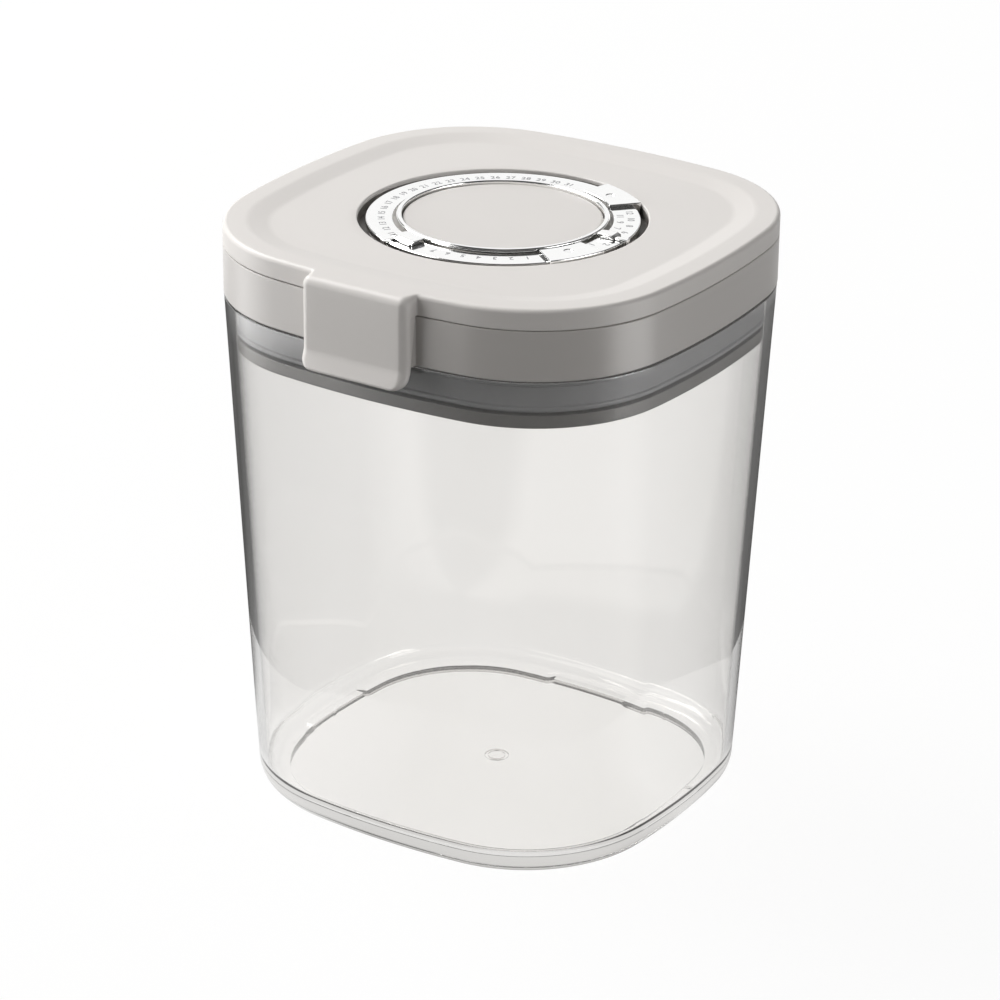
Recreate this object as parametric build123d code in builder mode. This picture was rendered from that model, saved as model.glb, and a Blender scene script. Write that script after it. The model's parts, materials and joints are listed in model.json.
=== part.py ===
from build123d import *
import os
from math import cos, pi, radians, sin, tan

os.makedirs("parts", exist_ok=True)

# Origin: centre of the jar's foot, +Z up, with the lid's front tab towards -Y

# Plan sizes: rounded squares with slightly bowed sides
lid_width = 124.0
lid_depth = 122.0
lid_corner = 38.3
rim_step = 0.1
base_width = 114.3
base_depth = 109.0
base_corner = 38.8
side_turn = 6.5

# Heights of what the photo shows, from the foot up
jar_height = 135.4
rim_gap = 0.3
ring_height = 12.55
seam_gap = 0.2
cover_height = 5.15
pan_drop = 1.0

# Jar
jar_wall = 2.0
jar_floor = 4.6
jar_foot_round = 6.0
jar_inside_round = 4.0
jar_rim_round = 0.5
foot_width = 1.6
foot_depth = 1.8
foot_break = 12.0
foot_break_depth = 0.5
gate_radius = 3.2
gate_ring = 1.0
gate_depth = 0.5

# Lid ring: outer band, skirt that hangs in the jar, and an airtight floor
band_wall = 2.2
band_flange = 2.0
skirt_inset = 5.0
skirt_wall = 2.0
lid_floor = 2.0
skirt_flange = 3.4
skirt_depth = 12.7
jar_clearance = 0.35
port_radius = 9.2
cap_recess_radius = 12.2
cap_recess = 1.0

# Gasket: a band in the skirt's groove with two lips towards the jar wall
gasket_fit = 0.1
lip_reach = 0.6
lip_height = 1.1
lip_inset = 0.9

# Top cover
cover_wall = 2.2
plate_thickness = 2.0
cover_edge_round = 1.2
rim_width = 6.0
slope_width = 5.5
lip_fit = 0.1
locating_lip = 1.6
locating_depth = 3.0
well_radius = 36.0
well_wall = 1.8
well_depth = 3.3
well_edge_round = 0.4
land_radius = 33.0
land_depth = 1.7
collar_radius = 25.15
collar_wall = 1.6
collar_length = 6.6

# Front tab, moulded with the cover
tab_width = 30.0
tab_reach = 4.4
tab_wall = 2.3
tab_bottom = 130.7
tab_flare = 1.4
tab_flare_height = 4.3
tab_corner = 3.0
tab_edge_round = 1.4
tab_top_round = 2.6
boss_inset = 0.4

# Date dial: chromed plate, two fixed stops, bezel and two sliding markers
dial_outer = 34.0
dial_inner = 27.3
dial_thickness = 1.4
dial_edge = 0.3
stop_outer = 35.6
stop_height = 0.85
stop_round = 0.3
month_stop_start = 48.0
month_stop_end = 75.0
day_stop_start = -39.0
day_stop_end = -14.0
dimple_radius = 1.2
dimple_depth = 0.45
bezel_outer = 26.4
bezel_inner = 25.0
bezel_rise = 0.7
bezel_round = 0.4
marker_outer = 32.0
marker_inner = 26.75
marker_plate = 0.95
marker_gap = 0.15
marker_bevel_run = 1.1
marker_bevel_drop = 0.55
marker_edge = 0.15
marker_corner = 0.6
hook_reach = 35.1
hook_wall = 0.8
hook_plate = 0.5
hook_depth = 2.6
hook_foot = 0.9
hook_foot_height = 0.4
hook_margin = 0.5
hook_turn = 2.7
day_marker_start = -116.0
day_marker_end = -101.8
month_marker_start = 1.0
month_marker_end = 7.4

# Pump button, pressed down against its spring
button_clearance = 0.15
button_plate = 2.1
button_sink = 0.1
button_edge_round = 0.6
button_skirt_wall = 1.6
button_flange = 1.3
button_flange_height = 1.6
button_stop_gap = 0.3
button_stroke = 6.5
stem_radius = 3.2
stem_bore_depth = 6.0

# Pump: cylinder, piston, valves and seals
cylinder_bore = 15.0
cylinder_wall = 1.6
cylinder_lift = 2.5
cylinder_floor = 2.0
cylinder_height = 15.5
base_radius = 24.0
ear_circle_radius = 27.5
ear_radius = 4.5
ear_turn = 45.0
screw_count = 4
spigot_outer = 10.5
spigot_inner = 9.0
oring_section = 0.8
oring_clearance = 0.03
socket_wall = 1.6
piston_clearance = 0.3
piston_height = 4.0
piston_dead_space = 2.0
seal_section = 0.8
seal_clearance = 0.05
flap_outer = 9.5
flap_thickness = 0.8
flap_fit = 0.1
exhaust_circle_radius = 7.5
exhaust_hole = 0.9
exhaust_count = 6
intake_circle_radius = 4.5
intake_hole = 1.0
intake_count = 6
umbrella_radius = 7.0
umbrella_height = 1.4
umbrella_edge = 0.5
umbrella_stem = 1.4
umbrella_fit = 0.1
umbrella_bulb = 2.2
umbrella_bulb_height = 1.2

# Small hardware
screw_shank = 1.2
screw_fit = 0.05
screw_pass = 0.3
screw_head = 2.5
screw_head_height = 1.6
screw_slot = 0.7
screw_slot_depth = 0.6
screw_length = 5.0
screw_tip_space = 0.4
washer_radius = 3.6
washer_thickness = 0.6

# Filter under the intake
cap_fit = 0.2
cap_neck_fit = 0.1
cap_neck_wall = 0.8
cap_hole = 0.9
cap_hole_count = 8
cap_hole_circle_radius = 5.5
filter_fit = 0.1
filter_thickness = 0.6

# Return spring
spring_radius = 20.0
spring_wire = 0.6
spring_turns = 7
spring_gap = 0.2
steps_per_turn = 4
end_turn_pitch = 1.8

cut_over = 1.0

# Levels worked out from the heights
ring_bottom = jar_height + rim_gap
ring_top = ring_bottom + ring_height
cover_bottom = ring_top + seam_gap
cover_top = cover_bottom + cover_height
pan_level = cover_top - pan_drop
plate_under = pan_level - plate_thickness
well_floor = pan_level - well_depth
land_level = pan_level - land_depth
dial_top = land_level + dial_thickness
collar_bottom = well_floor - well_wall - collar_length
skirt_bottom = ring_bottom - skirt_depth
floor_top = skirt_bottom + lid_floor
flange_top = skirt_bottom + skirt_flange
base_bottom = floor_top + cylinder_lift
base_top = base_bottom + cylinder_floor
cylinder_top = base_bottom + cylinder_height
bezel_top = pan_level + bezel_rise
button_top = pan_level - button_sink
button_under = button_top - button_plate
button_flange_top = collar_bottom - button_stop_gap
button_flange_bottom = button_flange_top - button_flange_height
piston_bottom = base_top + piston_dead_space + button_stroke
piston_top = piston_bottom + piston_height
marker_level = dial_top + marker_gap
marker_top = marker_level + marker_plate
hook_top = marker_level + hook_plate
hook_bottom = hook_top - hook_depth
front_face = -(lid_depth / 2 + tab_reach)


def jar_plan(level):
    """Half width, half depth and corner radius of the jar's outside at a level."""
    share = level / jar_height
    rim_width_half = lid_width / 2 - rim_step
    rim_depth_half = lid_depth / 2 - rim_step
    half_width = base_width / 2 + (rim_width_half - base_width / 2) * share
    half_depth = base_depth / 2 + (rim_depth_half - base_depth / 2) * share
    corner = base_corner + (lid_corner - rim_step - base_corner) * share
    return half_width, half_depth, corner


lid_plan = (lid_width / 2, lid_depth / 2, lid_corner)


def outline(plan, level, inset=0):
    """Rounded square of eight tangent arcs: each side turns by twice side_turn, so it is slightly bowed."""
    half_width = plan[0] - inset
    half_depth = plan[1] - inset
    corner = plan[2] - inset
    bow_share = tan(radians(side_turn) / 2)
    room_x = half_width - corner
    room_y = half_depth - corner
    centre_x = (room_x - bow_share * room_y) / (1 - bow_share**2)
    centre_y = (room_y - bow_share * room_x) / (1 - bow_share**2)
    end_x = centre_x + corner * sin(radians(side_turn))
    end_y = centre_y + corner * cos(radians(side_turn))
    side_x = centre_x + corner * cos(radians(side_turn))
    side_y = centre_y + corner * sin(radians(side_turn))
    mid_x = centre_x + corner * cos(pi / 4)
    mid_y = centre_y + corner * sin(pi / 4)
    with BuildSketch(Plane.XY.offset(level)) as shape:
        with BuildLine():
            ThreePointArc((-end_x, end_y), (0, half_depth), (end_x, end_y))
            ThreePointArc((end_x, end_y), (mid_x, mid_y), (side_x, side_y))
            ThreePointArc((side_x, side_y), (half_width, 0), (side_x, -side_y))
            ThreePointArc((side_x, -side_y), (mid_x, -mid_y), (end_x, -end_y))
            ThreePointArc((end_x, -end_y), (0, -half_depth), (-end_x, -end_y))
            ThreePointArc((-end_x, -end_y), (-mid_x, -mid_y), (-side_x, -side_y))
            ThreePointArc((-side_x, -side_y), (-half_width, 0), (-side_x, side_y))
            ThreePointArc((-side_x, side_y), (-mid_x, mid_y), (-end_x, end_y))
        make_face()
    return shape.sketch


def prism(plan, low, high, inset=0):
    """Straight block with the rounded-square outline, between two levels."""
    return extrude(outline(plan, low, inset), amount=high - low, mode=Mode.PRIVATE)


def sector(inner, outer, start, end, level):
    """Flat ring sector between two radii and two angles in degrees."""
    a = radians(start)
    b = radians(end)
    m = (a + b) / 2
    with BuildSketch(Plane.XY.offset(level)) as shape:
        with BuildLine():
            Line((inner * cos(a), inner * sin(a)), (outer * cos(a), outer * sin(a)))
            ThreePointArc((outer * cos(a), outer * sin(a)), (outer * cos(m), outer * sin(m)),
                          (outer * cos(b), outer * sin(b)))
            Line((outer * cos(b), outer * sin(b)), (inner * cos(b), inner * sin(b)))
            ThreePointArc((inner * cos(b), inner * sin(b)), (inner * cos(m), inner * sin(m)),
                          (inner * cos(a), inner * sin(a)))
        make_face()
    return shape.sketch


def sector_block(inner, outer, start, end, low, high):
    """Ring sector extruded between two levels."""
    return extrude(sector(inner, outer, start, end, low), amount=high - low, mode=Mode.PRIVATE)


def disc(radius, low, high, centre=(0, 0)):
    """Upright cylinder between two levels."""
    with BuildSketch(Plane.XY.offset(low)) as shape:
        with Locations(centre):
            Circle(radius)
    return extrude(shape.sketch, amount=high - low, mode=Mode.PRIVATE)


def polar_points(radius, count, first=0):
    """Evenly spaced centres on a circle, from a first angle in degrees."""
    turns = [radians(first + 360 * index / count) for index in range(count)]
    return [(radius * cos(turn), radius * sin(turn)) for turn in turns]


def torus_ring(radius, section, level):
    """O-ring: a circle of the section carried round Z."""
    with BuildPart() as ring:
        with BuildSketch(Plane.XZ):
            with Locations((radius, level)):
                Circle(section)
        revolve(axis=Axis.Z)
    return ring.part


# Inside of the jar, cut from it below
with BuildPart() as jar_space:
    inside_foot = outline(jar_plan(jar_floor), jar_floor, jar_wall)
    inside_top = outline(jar_plan(jar_height + cut_over), jar_height + cut_over, jar_wall)
    loft(sections=[inside_foot, inside_top], ruled=True)
    fillet(jar_space.edges().group_by(Axis.Z)[0], radius=jar_inside_round)

# Jar: clear tapered cup with a rounded foot and a foot rim that is stepped at mid-side
with BuildPart() as jar:
    loft(sections=[outline(jar_plan(0), 0), outline(jar_plan(jar_height), jar_height)], ruled=True)
    fillet(jar.edges().group_by(Axis.Z)[0], radius=jar_foot_round)
    add(jar_space.part, mode=Mode.SUBTRACT)
    fillet(jar.edges().group_by(Axis.Z)[-1], radius=jar_rim_round)
    add(prism(jar_plan(0), 0, foot_depth, jar_foot_round + foot_width), mode=Mode.SUBTRACT)
    with BuildSketch(Plane.XY):
        Rectangle(2 * foot_break, base_depth)
        Rectangle(base_width, 2 * foot_break)
        add(outline(jar_plan(0), 0, jar_foot_round), mode=Mode.INTERSECT)
    extrude(amount=foot_break_depth, mode=Mode.SUBTRACT)
    add(disc(gate_radius, foot_depth, foot_depth + gate_depth), mode=Mode.SUBTRACT)
    add(disc(gate_radius - gate_ring, foot_depth, foot_depth + gate_depth))
jar.part.label = "jar"
export_step(jar.part, "parts/jar.step")

# Lid ring: band flush with the jar, skirt with a gasket groove, closed floor, pump socket and bosses
socket_inner = spigot_outer + 2 * (oring_section + oring_clearance)
ear_centres = polar_points(ear_circle_radius, screw_count, first=ear_turn)
with BuildPart() as lid_ring:
    add(prism(lid_plan, ring_bottom, ring_top))
    add(prism(lid_plan, ring_bottom + band_flange, ring_top + cut_over, band_wall), mode=Mode.SUBTRACT)
    with BuildSketch(Plane.XY.offset(ring_bottom)):
        with Locations((0, front_face + tab_wall)):
            boss_reach = tab_reach - tab_wall + band_wall / 2
            Rectangle(tab_width - 2 * boss_inset, boss_reach, align=(Align.CENTER, Align.MIN))
    extrude(amount=ring_height)
    add(prism(lid_plan, skirt_bottom, ring_bottom + band_flange, skirt_inset))
    add(prism(jar_plan(skirt_bottom), skirt_bottom, flange_top, jar_wall + jar_clearance))
    add(prism(lid_plan, floor_top, ring_top + cut_over, skirt_inset + skirt_wall), mode=Mode.SUBTRACT)
    add(disc(socket_inner + socket_wall, floor_top, base_bottom))
    add(disc(socket_inner, floor_top, base_bottom + cut_over), mode=Mode.SUBTRACT)
    for centre in ear_centres:
        add(disc(ear_radius, floor_top, base_bottom, centre))
        hole_bottom = base_top - screw_length - screw_tip_space
        add(disc(screw_shank + screw_fit, hole_bottom, base_bottom + cut_over, centre), mode=Mode.SUBTRACT)
    add(disc(port_radius, skirt_bottom - cut_over, floor_top + cut_over), mode=Mode.SUBTRACT)
    add(disc(cap_recess_radius, skirt_bottom - cut_over, skirt_bottom + cap_recess), mode=Mode.SUBTRACT)
lid_ring.part.label = "lid_ring"
export_step(lid_ring.part, "parts/lid_ring.step")

# Gasket: soft band round the skirt, with two lips that stop just short of the jar wall
gasket_bottom = flange_top + gasket_fit
gasket_top = ring_bottom - gasket_fit
lip_inset_wall = jar_wall + jar_clearance
with BuildPart() as lid_gasket:
    add(prism(jar_plan(flange_top), gasket_bottom, gasket_top, lip_inset_wall + lip_reach))
    for lip_level in (gasket_bottom + lip_inset, gasket_top - lip_inset - lip_height):
        add(prism(jar_plan(flange_top), lip_level, lip_level + lip_height, lip_inset_wall))
    inner = skirt_inset - gasket_fit
    add(prism(lid_plan, gasket_bottom - cut_over, gasket_top + cut_over, inner), mode=Mode.SUBTRACT)
lid_gasket.part.label = "lid_gasket"
export_step(lid_gasket.part, "parts/lid_gasket.step")

# Front tab: a flap that hangs from the cover and flares at its lower edge
flare_top = tab_bottom + tab_flare_height
back_face = -(lid_depth / 2 - cover_wall)
flap_back = front_face + tab_wall
with BuildPart() as front_tab:
    with BuildSketch(Plane.YZ.offset(-tab_width / 2)):
        with BuildLine():
            Polyline(
                (back_face, cover_top),
                (front_face, cover_top),
                (front_face, flare_top),
                (front_face - tab_flare, tab_bottom),
                (flap_back - tab_flare, tab_bottom),
                (flap_back, flare_top),
                (flap_back, cover_bottom),
                (back_face, cover_bottom),
                close=True,
            )
        make_face()
    extrude(amount=tab_width)
    lower = front_tab.faces().sort_by(Axis.Z)[0]
    fillet(lower.edges().filter_by(Axis.Y), radius=tab_corner)
    front_edges = front_tab.edges().filter_by_position(Axis.Y, front_face - tab_flare, front_face)
    fillet(front_edges.filter_by(Axis.X, reverse=True), radius=tab_edge_round)
    top_edges = front_tab.edges().filter_by(Axis.X).group_by(Axis.Z)[-1]
    fillet(top_edges.sort_by(Axis.Y)[0], radius=tab_top_round)

# Top cover: raised rim, sloped band, flat pan, dial well, button collar and the tab
with BuildPart() as top_cover:
    add(prism(lid_plan, cover_bottom, cover_top))
    fillet(top_cover.edges().group_by(Axis.Z)[-1], radius=cover_edge_round)
    add(front_tab.part)
    loft(
        sections=[
            outline(lid_plan, pan_level, rim_width + slope_width),
            outline(lid_plan, cover_top, rim_width),
        ],
        ruled=True,
        mode=Mode.SUBTRACT,
    )
    add(prism(lid_plan, cover_bottom - cut_over, plate_under, cover_wall), mode=Mode.SUBTRACT)
    lip_bottom = cover_bottom - locating_depth
    add(prism(lid_plan, lip_bottom, plate_under, band_wall + lip_fit))
    lip_inner = band_wall + lip_fit + locating_lip
    add(prism(lid_plan, lip_bottom - cut_over, plate_under, lip_inner), mode=Mode.SUBTRACT)
    add(disc(well_radius + well_wall, well_floor - well_wall, plate_under))
    add(disc(well_radius, well_floor, pan_level + cut_over), mode=Mode.SUBTRACT)
    add(disc(land_radius, well_floor, land_level))
    add(disc(collar_radius + collar_wall, collar_bottom, well_floor))
    add(disc(collar_radius, collar_bottom - cut_over, cover_top), mode=Mode.SUBTRACT)
    well_edge = top_cover.edges().filter_by(GeomType.CIRCLE).filter_by_position(Axis.Z, pan_level, pan_level)
    fillet(well_edge.sort_by(SortBy.RADIUS)[-1], radius=well_edge_round)
top_cover.part.label = "top_cover"
export_step(top_cover.part, "parts/top_cover.step")

# Dial plate: chromed ring with two fixed stops, each with a dimple
stop_top = dial_top + stop_height
with BuildPart() as dial_stops:
    add(sector_block(dial_inner, stop_outer, month_stop_start, month_stop_end, land_level, stop_top))
    add(sector_block(dial_inner, stop_outer, day_stop_start, day_stop_end, land_level, stop_top))
    fillet(dial_stops.edges().group_by(Axis.Z)[-1], radius=stop_round)
dimple_circle_radius = (dial_inner + dial_outer) / 2
with BuildPart() as dial_plate:
    add(disc(dial_outer, land_level, dial_top))
    chamfer(dial_plate.edges().group_by(Axis.Z)[-1], length=dial_edge)
    add(disc(dial_inner, land_level - cut_over, dial_top + cut_over), mode=Mode.SUBTRACT)
    add(dial_stops.part)
    for start, end in ((month_stop_start, month_stop_end), (day_stop_start, day_stop_end)):
        middle = radians((start + end) / 2)
        centre = (dimple_circle_radius * cos(middle), dimple_circle_radius * sin(middle))
        add(disc(dimple_radius, stop_top - dimple_depth, stop_top + cut_over, centre), mode=Mode.SUBTRACT)
dial_plate.part.label = "dial_plate"
export_step(dial_plate.part, "parts/dial_plate.step")

# Bezel: chromed ring that frames the button
with BuildPart() as bezel_ring:
    add(disc(bezel_outer, land_level, bezel_top))
    add(disc(bezel_inner, land_level - cut_over, bezel_top + cut_over), mode=Mode.SUBTRACT)
    fillet(bezel_ring.edges().group_by(Axis.Z)[-1], radius=bezel_round)
bezel_ring.part.label = "bezel_ring"
export_step(bezel_ring.part, "parts/bezel_ring.step")


def dial_marker(start, end):
    """Block that slides round the dial, held by a narrow hook over and under the plate's edge."""
    hook_start = start + hook_margin
    hook_end = hook_start + hook_turn
    hook_inner = hook_reach - hook_wall
    with BuildPart() as slider:
        add(sector_block(marker_inner, marker_outer, start, end, marker_level, marker_top))
        fillet(slider.edges().filter_by(Axis.Z), radius=marker_corner)
        chamfer(slider.edges().group_by(Axis.Z)[-1], length=marker_edge)
        with BuildSketch(Plane.XZ):
            bevel_low = marker_top - marker_bevel_drop
            Polygon(
                (marker_outer - marker_bevel_run, marker_top),
                (marker_outer + marker_bevel_run, marker_top),
                (marker_outer + marker_bevel_run, bevel_low),
                (marker_outer, bevel_low),
                align=None,
            )
        revolve(axis=Axis.Z, mode=Mode.SUBTRACT)
        arm_inner = marker_outer - marker_bevel_run
        add(sector_block(arm_inner, hook_reach, hook_start, hook_end, marker_level, hook_top))
        add(sector_block(hook_inner, hook_reach, hook_start, hook_end, hook_bottom, marker_level))
        foot_top = hook_bottom + hook_foot_height
        foot_inner = hook_inner - hook_foot
        add(sector_block(foot_inner, hook_inner, hook_start, hook_end, hook_bottom, foot_top))
    return slider.part


day_marker = dial_marker(day_marker_start, day_marker_end)
day_marker.label = "day_marker"
export_step(day_marker, "parts/day_marker.step")
month_marker = dial_marker(month_marker_start, month_marker_end)
month_marker.label = "month_marker"
export_step(month_marker, "parts/month_marker.step")

# Pump button: cap with a skirt, a stop flange under the collar and a central stem
button_radius = bezel_inner - button_clearance
with BuildPart() as pump_button:
    add(disc(button_radius, button_flange_bottom, button_top))
    fillet(pump_button.edges().group_by(Axis.Z)[-1], radius=button_edge_round)
    add(disc(button_radius + button_flange, button_flange_bottom, button_flange_top))
    inner = button_radius - button_skirt_wall
    add(disc(inner, button_flange_bottom - cut_over, button_under), mode=Mode.SUBTRACT)
    add(disc(stem_radius, piston_top, button_under))
    bore_top = piston_top + stem_bore_depth
    add(disc(screw_shank + screw_fit, piston_top - cut_over, bore_top), mode=Mode.SUBTRACT)
pump_button.part.label = "pump_button"
export_step(pump_button.part, "parts/pump_button.step")

# Piston head: groove for its seal, exhaust holes under the flap, recess for the screw
seal_radius = cylinder_bore - seal_clearance - seal_section
piston_radius = cylinder_bore - piston_clearance
groove_low = (piston_bottom + piston_top) / 2 - seal_section - seal_clearance
groove_high = groove_low + 2 * (seal_section + seal_clearance)
head_recess = washer_thickness + screw_head_height + screw_pass
with BuildPart() as piston_head:
    add(disc(piston_radius, piston_bottom, piston_top))
    with BuildSketch(Plane.XY.offset(groove_low)):
        Circle(piston_radius + cut_over)
        Circle(seal_radius - seal_section - seal_clearance, mode=Mode.SUBTRACT)
    extrude(amount=groove_high - groove_low, mode=Mode.SUBTRACT)
    add(disc(screw_shank + screw_pass, piston_bottom, piston_top), mode=Mode.SUBTRACT)
    recess_radius = washer_radius + screw_pass
    add(disc(recess_radius, piston_bottom - cut_over, piston_bottom + head_recess), mode=Mode.SUBTRACT)
    for centre in polar_points(exhaust_circle_radius, exhaust_count):
        add(disc(exhaust_hole, piston_bottom - cut_over, piston_top + cut_over, centre), mode=Mode.SUBTRACT)
piston_head.part.label = "piston_head"
export_step(piston_head.part, "parts/piston_head.step")

piston_seal = torus_ring(seal_radius, seal_section, (piston_bottom + piston_top) / 2)
piston_seal.label = "piston_seal"
export_step(piston_seal, "parts/piston_seal.step")

# Exhaust flap: flat ring round the stem that lifts off the exhaust holes
with BuildPart() as exhaust_valve:
    add(disc(flap_outer, piston_top, piston_top + flap_thickness))
    bore = stem_radius + flap_fit
    add(disc(bore, piston_top - cut_over, piston_top + flap_thickness + cut_over), mode=Mode.SUBTRACT)
exhaust_valve.part.label = "exhaust_valve"
export_step(exhaust_valve.part, "parts/exhaust_valve.step")


def pan_screw(centre, seat, length, direction):
    """Pan-head screw from the face it clamps, with a driver slot; direction is +1 up or -1 down."""
    tip = seat + direction * length
    head = seat - direction * screw_head_height
    slot = head + direction * screw_slot_depth
    with BuildPart() as screw:
        add(disc(screw_shank, min(seat, tip), max(seat, tip), centre))
        add(disc(screw_head, min(seat, head), max(seat, head), centre))
        with BuildSketch(Plane.XY.offset(min(head, slot))):
            with Locations(centre):
                Rectangle(2 * screw_head, screw_slot)
        extrude(amount=screw_slot_depth, mode=Mode.SUBTRACT)
    return screw.part


# Piston screw and its washer, up into the stem
washer_seat = piston_bottom + head_recess
with BuildPart() as piston_washer:
    add(disc(washer_radius, washer_seat - washer_thickness, washer_seat))
    bore = screw_shank + screw_pass
    add(disc(bore, washer_seat - washer_thickness - cut_over, washer_seat + cut_over), mode=Mode.SUBTRACT)
piston_washer.part.label = "piston_washer"
export_step(piston_washer.part, "parts/piston_washer.step")

piston_screw = pan_screw((0, 0), washer_seat - washer_thickness, screw_length, 1)
piston_screw.label = "piston_screw"
export_step(piston_screw, "parts/piston_screw.step")

# Pump cylinder: bore, base flange with screw ears, intake holes and the sealing spigot
with BuildPart() as pump_cylinder:
    add(disc(base_radius, base_bottom, base_top))
    for centre in ear_centres:
        add(disc(ear_radius, base_bottom, base_top, centre))
    add(disc(cylinder_bore + cylinder_wall, base_top, cylinder_top))
    add(disc(cylinder_bore, base_top, cylinder_top + cut_over), mode=Mode.SUBTRACT)
    add(disc(spigot_outer, floor_top, base_bottom))
    add(disc(spigot_inner, floor_top - cut_over, base_bottom), mode=Mode.SUBTRACT)
    for centre in ear_centres:
        bore = screw_shank + screw_pass
        add(disc(bore, base_bottom - cut_over, base_top + cut_over, centre), mode=Mode.SUBTRACT)
    for centre in polar_points(intake_circle_radius, intake_count):
        add(disc(intake_hole, base_bottom - cut_over, base_top + cut_over, centre), mode=Mode.SUBTRACT)
    stem_hole = umbrella_stem + umbrella_fit
    add(disc(stem_hole, base_bottom - cut_over, base_top + cut_over), mode=Mode.SUBTRACT)
pump_cylinder.part.label = "pump_cylinder"
export_step(pump_cylinder.part, "parts/pump_cylinder.step")

cylinder_seal_radius = spigot_outer + oring_clearance + oring_section
cylinder_seal_level = floor_top + oring_section + oring_clearance
cylinder_seal = torus_ring(cylinder_seal_radius, oring_section, cylinder_seal_level)
cylinder_seal.label = "cylinder_seal"
export_step(cylinder_seal, "parts/cylinder_seal.step")

# Cylinder screws: four alike, down through the ears into the ring's blind bosses
screw_solids = [pan_screw(centre, base_top, screw_length, -1) for centre in ear_centres]
cylinder_screws = Compound(children=screw_solids)
cylinder_screws.label = "cylinder_screws"
export_step(cylinder_screws, "parts/cylinder_screws.step")

# Intake valve: soft umbrella on the cylinder's floor, held by a bulb below it
with BuildPart() as intake_valve:
    with BuildSketch(Plane.XZ):
        with BuildLine():
            bulb_top = base_bottom
            bulb_bottom = bulb_top - umbrella_bulb_height
            Line((0, bulb_bottom), (umbrella_stem, bulb_bottom))
            Line((umbrella_stem, bulb_bottom), (umbrella_bulb, bulb_top))
            Line((umbrella_bulb, bulb_top), (umbrella_stem, bulb_top))
            Line((umbrella_stem, bulb_top), (umbrella_stem, base_top))
            Line((umbrella_stem, base_top), (umbrella_radius, base_top))
            Line((umbrella_radius, base_top), (umbrella_radius, base_top + umbrella_edge))
            Line((umbrella_radius, base_top + umbrella_edge), (0, base_top + umbrella_height))
            Line((0, base_top + umbrella_height), (0, bulb_bottom))
        make_face()
    revolve(axis=Axis.Z)
intake_valve.part.label = "intake_valve"
export_step(intake_valve.part, "parts/intake_valve.step")

# Filter disc and the perforated cap that holds it in the port
cap_neck = port_radius - cap_neck_fit
with BuildPart() as intake_cap:
    add(disc(cap_recess_radius - cap_fit, skirt_bottom, skirt_bottom + cap_recess))
    add(disc(cap_neck, skirt_bottom + cap_recess, floor_top))
    neck_inner = cap_neck - cap_neck_wall
    add(disc(neck_inner, skirt_bottom + cap_recess, floor_top + cut_over), mode=Mode.SUBTRACT)
    for centre in polar_points(cap_hole_circle_radius, cap_hole_count):
        add(disc(cap_hole, skirt_bottom - cut_over, floor_top, centre), mode=Mode.SUBTRACT)
    add(disc(cap_hole, skirt_bottom - cut_over, floor_top), mode=Mode.SUBTRACT)
intake_cap.part.label = "intake_cap"
export_step(intake_cap.part, "parts/intake_cap.step")

filter_low = skirt_bottom + cap_recess
intake_filter = disc(cap_neck - cap_neck_wall - filter_fit, filter_low, filter_low + filter_thickness)
intake_filter.label = "intake_filter"
export_step(intake_filter, "parts/intake_filter.step")

# Return spring: one tube on tangent arcs, with a closed turn at each end
spring_low = base_top + spring_wire
spring_high = button_under - spring_gap - spring_wire
active_rise = spring_high - spring_low - 2 * end_turn_pitch


def spring_point(step):
    """Point on the spring's line after a number of steps."""
    turn = step / steps_per_turn
    angle = 2 * pi * turn
    low_part = min(turn, 1) * end_turn_pitch
    high_part = max(turn - (spring_turns - 1), 0) * end_turn_pitch
    middle_part = min(max(turn - 1, 0), spring_turns - 2) / (spring_turns - 2) * active_rise
    height = spring_low + low_part + middle_part + high_part
    return (spring_radius * cos(angle), spring_radius * sin(angle), height)


start_slope = end_turn_pitch / (2 * pi * spring_radius)
with BuildLine() as spring_line:
    tangent = (0, 1, start_slope)
    for step in range(spring_turns * steps_per_turn):
        arc = TangentArc(spring_point(step), spring_point(step + 1), tangent=tangent)
        tangent = arc % 1
with BuildPart() as return_spring:
    spring_wire_path = spring_line.wire()
    with BuildSketch(Plane(origin=spring_wire_path @ 0, z_dir=spring_wire_path % 0)):
        Circle(spring_wire)
    sweep(path=spring_wire_path)
return_spring.part.label = "return_spring"
export_step(return_spring.part, "parts/return_spring.step")
wire_volume = pi * spring_wire**2 * spring_wire_path.length
print("spring volume against section times length", return_spring.part.volume / wire_volume)
least_gap = min(end_turn_pitch, active_rise / (spring_turns - 2)) - 2 * spring_wire
print("spring least gap between turns, mm", round(least_gap, 3))
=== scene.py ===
import json
import math
from functools import partial

import bmesh
import bpy
import numpy as np
from mathutils import Matrix, Vector


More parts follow.
